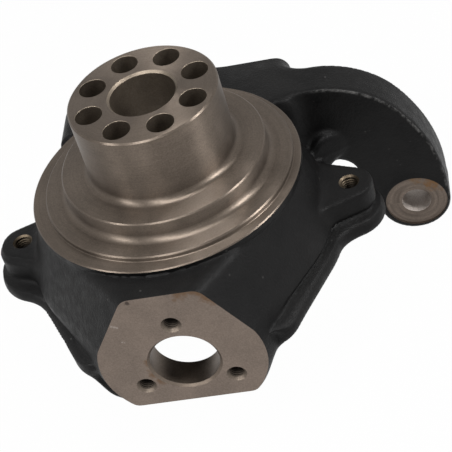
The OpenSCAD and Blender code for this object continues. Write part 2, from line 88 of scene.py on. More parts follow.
# Steering arm, its eye, and the pad above the crook
ARM_Y, ARM_T, ARM_EDGE, ARM_TOP, ARM_ROOT_X = 70.0, 30.5, 2.5, 64.9, 62.0
BEND_X, BEND_R, BEND_TURN = 98.0, 76.0, 56.0
CROOK_X, CROOK_Z, CROOK_R = 104.0, -21.0, 17.0
EYE_X, EYE_Z, EYE_R, EYE_SHIFT_X, EYE_SHIFT_Z, EYE_PROUD = 159.0, -56.4, 27.0, -1.1, -0.3, 0.3
EYE_SPOT_R, EYE_SPOT_H, EYE_HOLE_R, EYE_TAPER = 23.5, 0.8, 10.9, 0.1
PAD_R, PAD_H, PAD_EDGE, PAD_LEAN, PAD_UP = 12.5, 7.0, 4.0, 0.5, 34.0
PAD_FOOT_R, PAD_FOOT_BACK, PAD_FOOT_UP = 7.0, 16.0, 18.0
BLOCK_LEFT, BLOCK_RIGHT, BLOCK_CORNER, BLOCK_LOW, BLOCK_Y = 91.5, 83.0, 12.0, 22.0, 40.0

# Soft forms of the casting that only this script makes. The foot of the lip beside the bosses
LIP_BOSS_OUT, LIP_FATTER_RIGHT, LIP_FATTER_LEFT, LIP_FADE = 12.0, 1.5, 9.0, 19.0
FOOT_H_RIGHT, FOOT_H_LEFT, FATTER_FROM_Z, FATTER_TO_Z = 26.0, 36.0, -6.0, -18.0
# Height of the steps at the lip's top, the groove's top and the lobes' top, and how far a lobe withdraws there
LIP_STEP, GROOVE_STEP, LOBE_STEP, LOBE_GONE = 0.9, 1.3, 1.2, 60.0
# How far the casting stays inside the corners of a machined face, and how far it runs past the face
CORNER_IN, PAST_FACE = 2.4, 4.0
# How much lower the lip's top and wider the wall is on the left, and how far the lobes' feet are drawn in
LEFT_LOWER, LEFT_WIDER, LEFT_LOBE_TOP, LEFT_LOBE_DRAWN = 6.0, 2.0, 8.5, 3.5
# Sides of the mouth: their gap to the round of the boss, and how far and from where they open near its face
FLANK_RIGHT, FLANK_LEFT, MOUTH_FILLET = 1.0, 3.0, 25.74
FLANK_OPEN_RIGHT, FLANK_OPEN_LEFT, FLANK_END_LEFT, OPEN_FROM_Y, OPEN_TO_Y = 2.0, 12.0, 9.0, 76.0, 98.0
# Columns below the ears: the left one is fatter and ends below the ear's top, the right one above the groove
LEFT_NECK_FATTER, LEFT_NECK_DOWN, RIGHT_NECK_UP = 2.0, 3.5, 6.0
EAR_EDGE, LEFT_NECK_EDGE, RIGHT_NECK_EDGE = 2.2, 2.0, 1.0
# The hollow: how much it narrows up to its ceiling, beside a boss too, and the fillet between wall and ceiling
HOLLOW_IN, HOLLOW_BOSS_IN, HOLLOW_FILLET = 0.36, 0.45, 5.0
# Fillets between the casting's forms
BLEND_MOUTH, BLEND_RIM, BLEND_EAR, BLEND_BLOCK, BLEND_ARM, BLEND_PAD, BLEND_LOBE = 2.5, 3, 5, 10, 16, 5, 12

# Field of distances: its box along X, Y and Z, its step, and the distance at which it is cut off
FIELD_BOX = (-149, 192), (-129, 130), (-90, 76)
CELL, FIELD_REACH = 1.55, 4.0

# Threads: their pitch and depth, and where the ears' ones start
KINGPIN_PITCH, KINGPIN_THREAD = 1.75, 0.95
EAR_PITCH, EAR_THREAD, EAR_TAP_LOW = 2.0, 1.05, -12.0

# Strength of the world for diffuse light, and for reflections straight up and where they start to darken
SKY_DIFFUSE, SKY_TOP, SKY_RISE = 0.3, 0.74, 0.75
# The floor: half its side and its gap to the part in metres, and how white it is where it is seen
FLOOR_HALF, FLOOR_GAP, FLOOR_WHITE = 6.0, 0.0006, 0.985
LAMP_AIM, LAMP_FAR = Vector((0, 0, 0.05)), 1.5

# Camera in metres, and its focal length in pixels of a picture 452 wide
CAMERA_PLACE = Vector((0.2288, -0.8129, 0.7369))
CAMERA_RIGHT, CAMERA_BACK = Vector((0.972, 0.033, -0.233)), Vector((0.182, -0.733, 0.655))
FOCAL_PX, HALF_PICTURE_PX = 1539.34, 226


def smooth_min(a, b, k):
    """Smaller of two distances, with the corner between them filled over k."""
    return np.minimum(a, b) - np.maximum(k - np.abs(a - b), 0) ** 2 / (4 * k)


def smooth_max(a, b, k):
    return -smooth_min(-a, -b, k)


def ramp(value, start, end):
    """Share of the way from start to end, which may be the lower one, held between 0 and 1."""
    return np.clip((value - start) / (end - start), 0, 1)


def at(deg, r):
    """Step of length r at an angle."""
    return np.array([r * math.cos(math.radians(deg)), r * math.sin(math.radians(deg))])


def arc(centre, r, start, end, steps):
    """Points round a centre, from a start angle to an end angle."""
    points = [np.array(centre, float) + at(start + (end - start) * i / steps, r) for i in range(steps + 1)]
    return [tuple(p) for p in points]


def outline_distance(points, x, y):
    """Distance to a closed outline, negative inside."""
    d = np.full(x.shape, 1e9)
    inside = np.zeros(x.shape, bool)
    for (x0, y0), (x1, y1) in zip(points, points[1:] + points[:1]):
        ex, ey, wx, wy = x1 - x0, y1 - y0, x - x0, y - y0
        t = np.clip((wx * ex + wy * ey) / (ex * ex + ey * ey), 0, 1)
        d = np.minimum(d, (wx - t * ex) ** 2 + (wy - t * ey) ** 2)
        if ey:
            inside ^= ((y0 > y) != (y1 > y)) & (x < ex * (y - y0) / ey + x0)
    return np.where(inside, -1, 1) * np.sqrt(d)


def rounded_slab(d, w, low, high, r):
    """A shape of plan distance d, between two levels of w, with edges rounded to r."""
    a, b = d + r, np.abs(w - (low + high) / 2) - (high - low) / 2 + r
    return np.minimum(np.maximum(a, b), 0) + np.hypot(np.maximum(a, 0), np.maximum(b, 0)) - r


def boss_half_w(z):
    """Half width of a boss at a level: sloped sides above, round below."""
    sloped = BOSS_TOP_W / 2 + (BOSS_TOP_Z - z) * BOSS_SLOPE
    deep = np.where(z < 0, BOSS_DEEP, BOSS_R)
    round_w = BOSS_R * np.sqrt(np.maximum(1 - (z / deep) ** 2, 0.01))
    return np.where(z > BOSS_R * math.sqrt(0.5), sloped, np.minimum(round_w, sloped))


def wrapped_reach(a, r, cx, cy):
    """Reach of a circle wrapped, with four outlying corners, by a taut line."""
    s, c = np.abs(np.sin(a)), np.abs(np.cos(a))
    touch = np.arctan2(cy, cx) - np.arccos(np.minimum(r / np.hypot(cx, cy), 1))
    past = np.arctan2(s, c) - touch
    line = np.minimum(r / np.cos(np.clip(past, 0, 1.55)), cy / np.maximum(s, 1e-6))
    return np.where(past <= 0, r, line)


def nose_reach(a, x0, y0, r, flare):
    """Reach of a round nose whose sides spread toward the spindle axis."""
    ux, uy = np.cos(a), np.sin(a)
    across = x0 * uy - y0 * ux
    chord = r * r - across * across
    tip = np.where(chord > 0, x0 * ux + y0 * uy + np.sqrt(np.maximum(chord, 0)), 0)
    turn = np.abs(np.arctan2(uy * tip - y0, ux * tip - x0))
    base = r * math.sqrt(1 + flare * flare) + flare * x0
    upper = (base + y0) / np.maximum(flare * ux + uy, 0.01)
    lower = (base - y0) / np.maximum(flare * ux - uy, 0.01)
    rounded = (chord > 0) & (turn < math.pi / 2 - math.atan(flare))
    return np.where(ux < 0.5, 0, np.where(rounded, tip, np.minimum(upper, lower)))


def lip_share(z, foot_h):
    """Share of its full width that the lip has at a level, rounded over toward its top and its foot."""
    rise = np.clip(z / LIP_H - LIP_FLAT, 0, 0.8) / 0.82
    drop = ramp(z, MOUTH_Z, MOUTH_Z - foot_h)
    return np.sqrt(1 - rise ** 2) * np.sqrt(1 - drop ** 2)


def bell_reach(a, z):
    """Reach of the cast bell, its bosses, its lip and the groove above it, at an angle and a level."""
    left = ramp(-np.cos(a), 0.2, 0.5)
    risen = ramp(z, WALL_Z, RIM_LOW)
    lip_z = z + LEFT_LOWER * left * ramp(z, MOUTH_Z, MOUTH_Z + 4)
    r = BELL_SKIRT_R + (BELL_TOP_R - BELL_SKIRT_R) * risen
    r = r + WALL_SHIFT_X * ramp(lip_z, LIP_H, LIP_H + 1) * np.cos(a) + LEFT_WIDER * left * (1 - risen)
    corner = np.maximum(boss_half_w(z) - CORNER_IN, 4)
    body = wrapped_reach(a, r, corner, FACE_Y + PAST_FACE)

    # The lip, which fades out where it meets the machined faces, and the groove
    full = lip_share(lip_z, FOOT_H_RIGHT + (FOOT_H_LEFT - FOOT_H_RIGHT) * left)
    out = LIP_BOSS_OUT + LIP_FATTER_RIGHT * (1 - left)
    out = out + LIP_FATTER_LEFT * left * ramp(z, FATTER_FROM_Z, FATTER_TO_Z)
    lip = wrapped_reach(a, r + LIP_OUT * full, corner + out * full, FACE_Y + PAST_FACE)
    past = lip * np.abs(np.sin(a)) - FACE_Y + LIP_FADE
    lip_shown = (1 - ramp(past, 0, LIP_FADE) ** 2.2) * ramp(lip_z, LIP_H + LIP_STEP, LIP_H)
    in_groove = ramp(lip_z, LIP_H, LIP_H + LIP_STEP) * ramp(lip_z, WALL_Z, WALL_Z - GROOVE_STEP)
    reach = body + (lip - body) * lip_shown - GROOVE_DEEP * in_groove * ramp(past, -2, -12)

    # The lobes of the lip under the ears, drawn in above their top and below the mouth
    full_left = lip_share(z * LIP_H / LEFT_LOBE_TOP, FOOT_H_LEFT)
    for turn, lobe_r, top, share, drawn in ((0.0, LOBE_R_RIGHT, LIP_H, full, LIP_OUT),
                                            (math.pi, LOBE_R_LEFT, LEFT_LOBE_TOP, full_left, LEFT_LOBE_DRAWN)):
        lobe = nose_reach(a + turn, LOBE_TIP - lobe_r, EAR_Y, lobe_r - drawn * (1 - share), EAR_FLARE)
        lobe = lobe - LOBE_GONE * (ramp(z, top, top + LOBE_STEP) + ramp(z, MOUTH_Z - 2, MOUTH_Z - 4))
        reach = smooth_max(reach, lobe, BLEND_LOBE)
    return reach


class Grid:
    """Points round the part, one cell apart, with planes of them seen from above and from the side."""

    def __init__(self):
        self.x, self.y, self.z = (np.arange(low, high, CELL) for low, high in FIELD_BOX)
        self.top_x, self.top_y = np.meshgrid(self.x, self.y, indexing="ij")
        self.side_x, self.side_z = np.meshgrid(self.x, self.z, indexing="ij")
        self.yy = self.y[None, :, None].astype(np.float32)
        self.zz = self.z[None, None, :].astype(np.float32)
        self.on_right = (self.x > 0)[:, None, None]
        self.from_rim = np.hypot(self.top_x - SHIFT_X, self.top_y - SHIFT_Y)[:, :, None] - RIM_R


def bell_distance(g):
    centre_x = SHIFT_X / 2
    rho = np.hypot(g.top_x - centre_x, g.top_y)
    ang = np.arctan2(g.top_y, g.top_x - centre_x)
    table = np.linspace(-math.pi, math.pi, 1441)
    reach = bell_reach(table[:, None], g.z[None, :])
    slope_a = np.gradient(reach, table[1] - table[0], axis=0) / reach
    slope_z = np.gradient(reach, CELL, axis=1)
    steep = 1 / np.sqrt(1 + slope_a ** 2 + slope_z ** 2)
    d = np.empty((len(g.x), len(g.y), len(g.z)), np.float32)
    for k in range(len(g.z)):
        d[:, :, k] = (rho - np.interp(ang, table, reach[:, k])) * np.interp(ang, table, steep[:, k])
    return d


def mouth_distance(g):
    """What stays above the mouth, or within the flanks beside the two bosses."""
    flank = np.hypot(g.side_x, g.side_z)[:, None, :] - BOSS_R - np.where(g.on_right, FLANK_RIGHT, FLANK_LEFT)
    off_middle = np.abs(g.yy)
    opened = np.where(g.on_right, FLANK_OPEN_RIGHT, FLANK_OPEN_LEFT)
    opened = opened * ramp(off_middle, FACE_Y - 9, FACE_Y - 29) + np.where(g.on_right, 0, FLANK_END_LEFT)
    flank = flank - opened * ramp(off_middle, OPEN_FROM_Y, OPEN_TO_Y)
    return smooth_min((MOUTH_Z - g.side_z)[:, None, :], flank, MOUTH_FILLET)


def disc_distance(g):
    """Cast disc behind the machined rim, with a foot that runs in below it."""
    disc = g.from_rim + 0.7 + np.clip(RIM_LOW - g.zz, 0, None)
    return np.maximum(disc, RIM_LOW - 12 - g.zz)


def ear_outline():
    spread = math.degrees(math.atan(EAR_FLARE))
    root_x = BELL_SKIRT_R - BELL_WALL - 2
    half_w = EAR_R * math.sqrt(1 + EAR_FLARE ** 2) + EAR_FLARE * (EAR_X - root_x)
    nose = arc([EAR_X, EAR_Y], EAR_R, spread - 90, 90 - spread, 16)
    return [(root_x, EAR_Y - half_w)] + nose + [(root_x, EAR_Y + half_w)]


def ear_distance(g, side):
    """Stop screw ear on one side, with the column below it."""
    d = outline_distance(ear_outline(), side * g.top_x, side * g.top_y)[:, :, None]
    low = LIP_H / 2 - 3
    if side > 0:
        neck = rounded_slab(d + GROOVE_DEEP, g.zz, low, WALL_Z + RIGHT_NECK_UP, RIGHT_NECK_EDGE)
    else:
        neck = rounded_slab(d - LEFT_NECK_FATTER, g.zz, low, EAR_TOP - LEFT_NECK_DOWN, LEFT_NECK_EDGE)
    return np.minimum(neck, rounded_slab(d, g.zz, WALL_Z - 0.8, EAR_TOP, EAR_EDGE))


def block_distance(g):
    """Block on the +Y boss that carries the arm, and runs into the bell away from its face."""
    c, corner_z = BLOCK_CORNER, BOSS_TOP_Z - BLOCK_CORNER
    outline = arc([BLOCK_RIGHT - c, corner_z], c, 0, 90, 8) + arc([c - BLOCK_LEFT, corner_z], c, 90, 180, 8)
    outline += [(1 - BLOCK_LEFT, BLOCK_LOW), (-BOSS_R, -6), (-BOSS_R * 0.75, BOSS_LOW_Z)]
    outline += [(BOSS_R * 0.75, BOSS_LOW_Z), (BOSS_R, -6), (BLOCK_RIGHT - 1, BLOCK_LOW)]
    d = outline_distance(outline, g.side_x, g.side_z)[:, None, :]
    stations = [BLOCK_Y, ARM_Y - 6, FACE_Y - 20, FACE_Y]
    left = np.interp(g.y, stations, [0, BLOCK_LEFT, BLOCK_LEFT, BLOCK_LEFT - 2])
    right = np.interp(g.y, stations, [0, BLOCK_RIGHT, BLOCK_RIGHT + 2, BLOCK_RIGHT])
    draw_in = np.where(g.x[:, None] < 0, BLOCK_LEFT - left, BLOCK_RIGHT - right)[:, :, None]
    ends = np.maximum(BLOCK_Y + 4 - g.yy, g.yy - FACE_Y - 4.5)
    return np.maximum(d + np.minimum(draw_in, 60) * 0.9, ends)


def arm_outline():
    """Closed outline of the arm, in X and Z."""
    eye_edge = EYE_R - 0.3
    side_x = EYE_X + EYE_SHIFT_X + eye_edge
    turn = 90 - BEND_TURN
    c1 = np.array([BEND_X, ARM_TOP - BEND_R])
    p = c1 + at(turn, BEND_R)
    r2 = (side_x - p[0]) / (1 - math.cos(math.radians(turn)))
    c2 = p - at(turn, r2)
    low = math.degrees(math.asin(max((EYE_Z - c2[1]) / r2, -1)))
    crook, eye = np.array([CROOK_X, CROOK_Z]), np.array([EYE_X + EYE_SHIFT_X, EYE_Z + EYE_SHIFT_Z])
    d = eye - crook
    leave = math.degrees(math.atan2(d[1], d[0]) + math.acos((CROOK_R + EYE_R) / np.hypot(*d)))
    outer = [(ARM_ROOT_X, ARM_TOP)] + arc(c1, BEND_R, 90, turn, 24) + arc(c2, r2, turn, low, 24)[1:]
    inner = [(ARM_ROOT_X, CROOK_Z + CROOK_R)] + arc(crook, CROOK_R, 95, leave, 16)
    inner += [tuple(eye - at(leave, eye_edge))]
    return outer + inner[::-1]


def arm_distance(g):
    """Flat bar of the arm, joined to its eye, which stands a little proud of it."""
    d = outline_distance(arm_outline(), g.side_x, g.side_z)[:, None, :]
    bar = rounded_slab(d, g.yy, ARM_Y, ARM_Y + ARM_T, ARM_EDGE)
    d = (np.hypot(g.side_x - EYE_X - EYE_SHIFT_X, g.side_z - EYE_Z - EYE_SHIFT_Z) - EYE_R)[:, None, :]
    eye = rounded_slab(d, g.yy, ARM_Y - EYE_PROUD, ARM_Y + ARM_T + EYE_PROUD, ARM_EDGE)
    return smooth_min(bar, eye, 1.0)


def pad_distance(g):
    """Pad above the crook: a round head that narrows to a foot, leaning away from the arm's face."""
    head = np.array([CROOK_X, CROOK_Z + PAD_UP])
    foot = np.array([CROOK_X - PAD_FOOT_BACK, CROOK_Z + PAD_FOOT_UP])
    to_foot = foot - head
    turn = math.degrees(math.acos((PAD_R - PAD_FOOT_R) / np.hypot(*to_foot)))
    way = math.degrees(math.atan2(to_foot[1], to_foot[0])) + 360
    outline = arc(head, PAD_R, way + turn - 360, way - turn, 28)
    outline += arc(foot, PAD_FOOT_R, way - turn, way + turn, 12)
    d = outline_distance(outline, g.side_x, g.side_z)[:, None, :]
    leaned = g.yy - (PAD_LEAN * (g.x - CROOK_X))[:, None, None]
    return rounded_slab(d, leaned, ARM_Y - PAD_H, ARM_Y + 12, PAD_EDGE)


def casting_mesh():
    """Vertices and faces of the raw casting, from a field of distances."""
    g = Grid()
    body = bell_distance(g)
    body = smooth_max(body, g.zz - BOSS_TOP_Z, 5)
    body = smooth_max(body, BOSS_LOW_Z - g.zz, 2)
    body = smooth_max(body, mouth_distance(g).astype(np.float32), BLEND_MOUTH)
    for piece, blend in ((disc_distance(g), BLEND_RIM), (ear_distance(g, 1), BLEND_EAR),
                         (ear_distance(g, -1), BLEND_EAR), (block_distance(g), BLEND_BLOCK),
                         (arm_distance(g), BLEND_ARM), (pad_distance(g), BLEND_PAD)):
        body = smooth_min(body, piece.astype(np.float32), blend)

    # Outside the rim nothing rises above the arm
    body = np.where(g.from_rim > 0, smooth_max(body, g.zz - ARM_TOP - 1, 3), body)
    field = openvdb.FloatGrid(FIELD_REACH)
    field.copyFromArray(np.clip(body, -FIELD_REACH, FIELD_REACH).astype(np.float32))
    verts, _, quads = field.convertToPolygons(isovalue=0.0, adaptivity=0.0)
    return verts * CELL + np.array([g.x[0], g.y[0], g.z[0]]), quads[:, ::-1]


def new_object(name, verts, faces, material=None):
    """Object from vertices in millimetres."""
    mesh = bpy.data.meshes.new(name)
    mesh.from_pydata((np.asarray(verts) * 0.001).tolist(), [], [list(map(int, f)) for f in faces])
    mesh.update()
    obj = bpy.data.objects.new(name, mesh)
    bpy.context.scene.collection.objects.link(obj)
    if material:
        mesh.materials.append(material)
    return obj


def lathe(name, profile, steps, material, place=Matrix()):
    """Closed solid turned about Z from (radius, height) points that start and end on the axis."""
    verts, faces = [(0, 0, profile[0][1]), (0, 0, profile[-1][1])], []
    rings = profile[1:-1]
    for r, h in rings:
        for i in range(steps):
            a = 2 * math.pi * i / steps
            verts.append((r * math.cos(a), r * math.sin(a), h))
    n = len(rings)
    for i in range(steps):
        j = (i + 1) % steps
        faces.append((0, 2 + j, 2 + i))
        faces.append((1, 2 + (n - 1) * steps + i, 2 + (n - 1) * steps + j))
        for k in range(n - 1):
            a, b = 2 + k * steps, 2 + (k + 1) * steps
            faces.append((a + i, a + j, b + j, b + i))
    verts = [place @ Vector(v) for v in verts]
    return new_object(name, [tuple(v) for v in verts], faces, material)


def ring(name, section, steps, material, place):
    """Closed ring turned about Z from a section of (radius, height) points that runs anticlockwise."""
    n, verts, faces = len(section), [], []
    for i in range(steps):
        a = 2 * math.pi * i / steps
        verts += [tuple(place @ Vector((r * math.cos(a), r * math.sin(a), h))) for r, h in section]
    for i in range(steps):
        j = (i + 1) % steps
        for k in range(n):
            m = (k + 1) % n
            faces.append((i * n + k, j * n + k, j * n + m, i * n + m))
    return new_object(name, verts, faces, material)


def box_cutter(name, low, high, material):
    v = [(x, y, z) for x in (low[0], high[0]) for y in (low[1], high[1]) for z in (low[2], high[2])]
    f = [(0, 1, 3, 2), (4, 6, 7, 5), (0, 4, 5, 1), (2, 3, 7, 6), (0, 2, 6, 4), (1, 5, 7, 3)]
    return new_object(name, v, f, material)


def solids(name, parts, material, steps):
    """Several turned solids, each a profile with its place, as one cutter."""
    verts, faces = [], []
    for profile, place in parts:
        piece = lathe("part", profile, steps, None, place)
        base = len(verts)
        verts += [tuple(v.co * 1000) for v in piece.data.vertices]
        faces += [[base + i for i in p.vertices] for p in piece.data.polygons]
        bpy.data.meshes.remove(piece.data)
    return new_object(name, verts, faces, material)


def cut(target, cutters, operation="DIFFERENCE"):
    """Applies boolean cuts, which hand over the cutters' materials, and removes the cutters."""
    for cutter in cutters:
        mod = target.modifiers.new("cut", "BOOLEAN")
        mod.operation, mod.solver, mod.object = operation, "MANIFOLD", cutter
        mod.material_mode = "TRANSFER"
        graph = bpy.context.evaluated_depsgraph_get()
        mesh = bpy.data.meshes.new_from_object(target.evaluated_get(graph))
        target.modifiers.clear()
        old = target.data
        target.data = mesh
        bpy.data.meshes.remove(old)
        bpy.data.objects.remove(cutter)


def along_y(y, x=0.0, z=0.0, flip=1):
    """Turns a shape that rises along Z to one that rises along flip * Y from y."""
    turn = Matrix(((1, 0, 0), (0, 0, flip), (0, -flip, 0))).to_4x4()
    return Matrix.Translation(Vector((x, y, z))) @ turn


def threads(r, low, high, pitch, deep):
    """Turns of thread in a tapped hole, as (radius, height) points up to just below its mouth."""
    profile = []
    h = low + pitch
    while h < high - 1.5:
        profile += [(r, h), (r + deep, h + pitch * 0.42), (r + deep, h + pitch * 0.54)]
        h += pitch
    return profile


def hollow_mesh(material):
    """The space inside the bell, as rings at shares of the height up to its ceiling."""
    def shape(s):
        r = (BELL_SKIRT_R - BELL_WALL) * (1 - HOLLOW_IN * s ** 3)
        cx = (BOSS_R - BELL_WALL) * (1 - HOLLOW_BOSS_IN * s ** 2)
        cy = max(INNER_Y - (INNER_Y - r + 3) * s ** 3, r + 0.5)
        return r, cx, cy

    angles = np.linspace(0, 2 * math.pi, 360, endpoint=False)
    levels = [-BELL_WALL * 3.7 / CEILING_Z] + list(np.linspace(0, 0.9, 19)) + [0.93, 0.96, 0.98, 0.995]
    verts, faces = [], []
    for s in levels:
        r, cx, cy = shape(max(s, 0))
        inset = HOLLOW_FILLET * (1 - math.sqrt(1 - ramp(s, 0.88, 0.995) ** 2))
        reach = wrapped_reach(angles, r, cx, cy) - inset
        z = s * CEILING_Z if s < 0.99 else CEILING_Z
        verts += [(q * math.cos(a), q * math.sin(a), z) for a, q in zip(angles, reach)]
    n = len(angles)
    for k in range(len(levels) - 1):
        for i in range(n):
            j = (i + 1) % n
            faces.append((k * n + i, k * n + j, (k + 1) * n + j, (k + 1) * n + i))
    faces.append(tuple(range(n))[::-1])
    faces.append(tuple((len(levels) - 1) * n + i for i in range(n)))
    return new_object("hollow", verts, faces, material)


def math_node(tree, operation, *values):
    """Math node of a tree, fed by numbers or sockets."""
    node = tree.nodes.new("ShaderNodeMath")
    node.operation = operation
    for socket, value in zip(node.inputs, values):
        if isinstance(value, (int, float)):
            socket.default_value = value
        else:
            tree.links.new(value, socket)
    return node.outputs[0]


def scaled(colour, factor):
    return tuple(c * factor for c in colour)


class Nodes:
    """Short way to build a material's node tree."""

    def __init__(self, name):
        self.mat = bpy.data.materials.new(name)
        self.mat.use_nodes = True
        self.tree = self.mat.node_tree
        self.shader = self.tree.nodes["Principled BSDF"]
        self.coords = self.tree.nodes.new("ShaderNodeTexCoord").outputs["Object"]

    def add(self, kind, links=(), **values):
        node = self.tree.nodes.new("ShaderNode" + kind)
        for key, value in values.items():
            if key[0].islower():
                setattr(node, key, value)
            else:
                node.inputs[key.replace("_", " ")].default_value = value
        for key, source in dict(links).items():
            self.tree.links.new(source, node.inputs[key])
        return node

    def noise(self, scale, detail=3.0, vector=None, rough=0.5):
        node = self.add("TexNoise", {"Vector": vector or self.coords}, Scale=scale, Detail=detail,
                        Roughness=rough)
        return node.outputs["Fac"]

    def math(self, operation, *values):
        return math_node(self.tree, operation, *values)

    def axes(self):
        return self.add("SeparateXYZ", {"Vector": self.coords}).outputs

    def ramp(self, fac, stops):
        node = self.add("ValToRGB", {"Fac": fac})
        for element, (pos, colour) in zip(node.color_ramp.elements, stops):
            element.position = pos
            element.color = tuple(colour) + (1,)
        return node.outputs["Color"]

    def value_map(self, fac, low, high, to_low, to_high):
        node = self.add("MapRange", {"Value": fac})
        for key, value in zip(("From Min", "From Max", "To Min", "To Max"), (low, high, to_low, to_high)):
            node.inputs[key].default_value = value
        return node.outputs["Result"]

    def mix(self, fac, a, b):
        node = self.add("Mix", data_type="RGBA")
        for socket, value in ((node.inputs[0], fac), (node.inputs[6], a), (node.inputs[7], b)):
            if isinstance(value, tuple):
                socket.default_value = value + (1,)
            else:
                self.tree.links.new(value, socket)
        return node.outputs[2]

    def bump(self, height, strength, distance, normal=None):
        node = self.add("Bump", {"Height": height}, Strength=strength, Distance=distance)
        if normal:
            self.tree.links.new(normal, node.inputs["Normal"])
        return node.outputs["Normal"]

    def to(self, socket, source):
        if isinstance(source, (int, float)):
            self.shader.inputs[socket].default_value = source
        else:
            self.tree.links.new(source, self.shader.inputs[socket])


def cast_material(name, dark, light):
    """Black primer over a sand cast skin, with specks, and a painted highlight: a lighter broken line for the
    glint along the near edge of the arm.
    """
    n = Nodes(name)
    patches = n.math("ADD", n.noise(28, 4), n.math("MULTIPLY", n.noise(520, 2), 0.25))
    colour = n.ramp(patches, [(0.42, dark), (0.78, light)])
    specks = n.add("TexVoronoi", {"Vector": n.coords}, Scale=75.0).outputs["Distance"]
    colour = n.mix(n.value_map(specks, 0.03, 0.07, 0.5, 0.0), colour, (0.07, 0.068, 0.065))
    # Painted highlight: a lighter broken band along the arm's near edge stands in for the glint of light on
    # that edge.
    x, y, _ = n.axes()
    off_edge = n.math("ABSOLUTE", n.math("SUBTRACT", y, (ARM_Y + 0.7) * 0.001))
    painted_edge_glint = n.value_map(off_edge, 0.0003, 0.0006, 1.0, 0.0)
    painted_edge_glint = n.math("MULTIPLY", painted_edge_glint, n.value_map(x, 0.095, 0.105, 0.0, 1.0))
    painted_edge_glint = n.math("MULTIPLY", painted_edge_glint, n.value_map(n.noise(130, 4, rough=0.7), 0.42, 0.62, 0.0, 0.8))
    n.to("Base Color", n.mix(painted_edge_glint, colour, (0.09, 0.088, 0.085)))
    n.to("Roughness", n.value_map(n.noise(160, 3), 0.3, 0.7, 0.36, 0.52))
    n.to("Specular IOR Level", 0.105)
    skin = n.bump(n.noise(95, 4, rough=0.6), 0.16, 0.0009)
    n.to("Normal", n.bump(n.noise(620, 4, rough=0.65), 0.8, 0.0005, skin))
    return n.mat


def tool_marks(n, axis, centre, pitch):
    """Rings of cutter marks about an axis through a centre in millimetres, or plain grain without an axis."""
    if not axis:
        return n.noise(700, 4, rough=0.7)
    x, y, z = n.axes()
    u, v, w = (x, y, z) if axis == "Z" else (x, z, y)
    u, v = n.math("SUBTRACT", u, centre[0] * 0.001), n.math("SUBTRACT", v, centre[1] * 0.001)
    radius = n.math("SQRT", n.math("ADD", n.math("MULTIPLY", u, u), n.math("MULTIPLY", v, v)))
    around = n.math("MULTIPLY", n.math("ARCTAN2", v, u), 0.0012)
    place = n.add("CombineXYZ", {"X": radius, "Y": w, "Z": around}).outputs[0]
    return n.noise(1 / pitch, 2, place, 0.7)


def shaded_down_hole(n, tint, colour, axis, mouth, span, low, pitch):
    """Tint with painted shade that deepens down a tapped hole from its mouth, and a painted dark line of shade
    at each root of the thread.
    """
    _, y, z = n.axes()
    level = n.math("ABSOLUTE", y) if axis == "Y" else z
    shade = n.value_map(level, (mouth - span) * 0.001, mouth * 0.001, 0.0, 1.0)
    tint = n.mix(shade, scaled(colour, 0.04), tint)
    turns = n.math("DIVIDE", n.math("SUBTRACT", level, low * 0.001), pitch * 0.001)
    off_root = n.math("ABSOLUTE", n.math("SUBTRACT", n.math("FRACT", turns), 0.48))
    in_sink = n.value_map(level, (mouth - 2.4) * 0.001, (mouth - 1.8) * 0.001, 0.0, 1.0)
    off_root = n.math("MAXIMUM", off_root, in_sink)
    return n.mix(n.value_map(off_root, 0.12, 0.38, 0.0, 1.0), scaled(colour, 0.1), tint)


def stained(n, tint, point, size, colour):
    """Tint with a ragged stain round a point, both in millimetres."""
    away = n.add("VectorMath", {0: n.coords}, operation="DISTANCE")
    away.inputs[1].default_value = scaled(point, 0.001)
    ragged = n.math("MULTIPLY", n.math("SUBTRACT", n.noise(260, 4), 0.5), size * 0.002)
    edge_at = n.math("ADD", away.outputs["Value"], ragged)
    return n.mix(n.value_map(edge_at, size * 0.00035, size * 0.001, 0.75, 0.0), tint, colour)


def machined_material(name, colour, rough, axis=None, centre=(0, 0), pitch=0.0012, depth=0.3, stretch=0.0,
                      rings=0.0, thread=None, stains=()):
    """Bare steel with tool marks, in rings about an axis where one is given."""
    n = Nodes(name)
    film = n.noise(34, 5, rough=0.6)
    grain = n.noise(900, 3, rough=0.7)
    both = n.math("ADD", n.math("MULTIPLY", film, 0.45), n.math("MULTIPLY", grain, 0.55))
    tint = n.ramp(both, [(0.36, scaled(colour, 0.74)), (0.64, scaled(colour, 1.2))])
    n.to("Metallic", 0.95)
    if stretch:
        n.to("Anisotropic", stretch)
        n.to("Anisotropic Rotation", 0.25)
        n.to("Tangent", n.add("Tangent", direction_type="RADIAL", axis=axis).outputs[0])
    marks = tool_marks(n, axis, centre, pitch)
    if rings:
        tint = n.mix(n.value_map(marks, 0.4, 0.62, 0.0, rings), tint, scaled(colour, 0.45))
    # Painted shade down a tapped hole and in the roots of its thread.
    if thread:
        tint = shaded_down_hole(n, tint, colour, axis, *thread)
    for stain in stains:
        tint = stained(n, tint, *stain)
    n.to("Base Color", tint)
    uneven = n.value_map(film, 0.3, 0.7, rough - 0.05, rough + 0.06)
    n.to("Roughness", n.math("ADD", uneven, n.math("MULTIPLY", marks, 0.08)))
    n.to("Normal", n.bump(marks, depth, 0.00025))
    return n.mat


def near_face(x, z, size, colour):
    """Stain or scratch on the near kingpin face."""
    return (x, -FACE_Y, z), size, colour


def eye_rust(x, z, size, colour):
    """Stain on the eye's spot face, at a place from the eye's centre."""
    return (EYE_X + x, ARM_Y, EYE_Z + z), size, colour


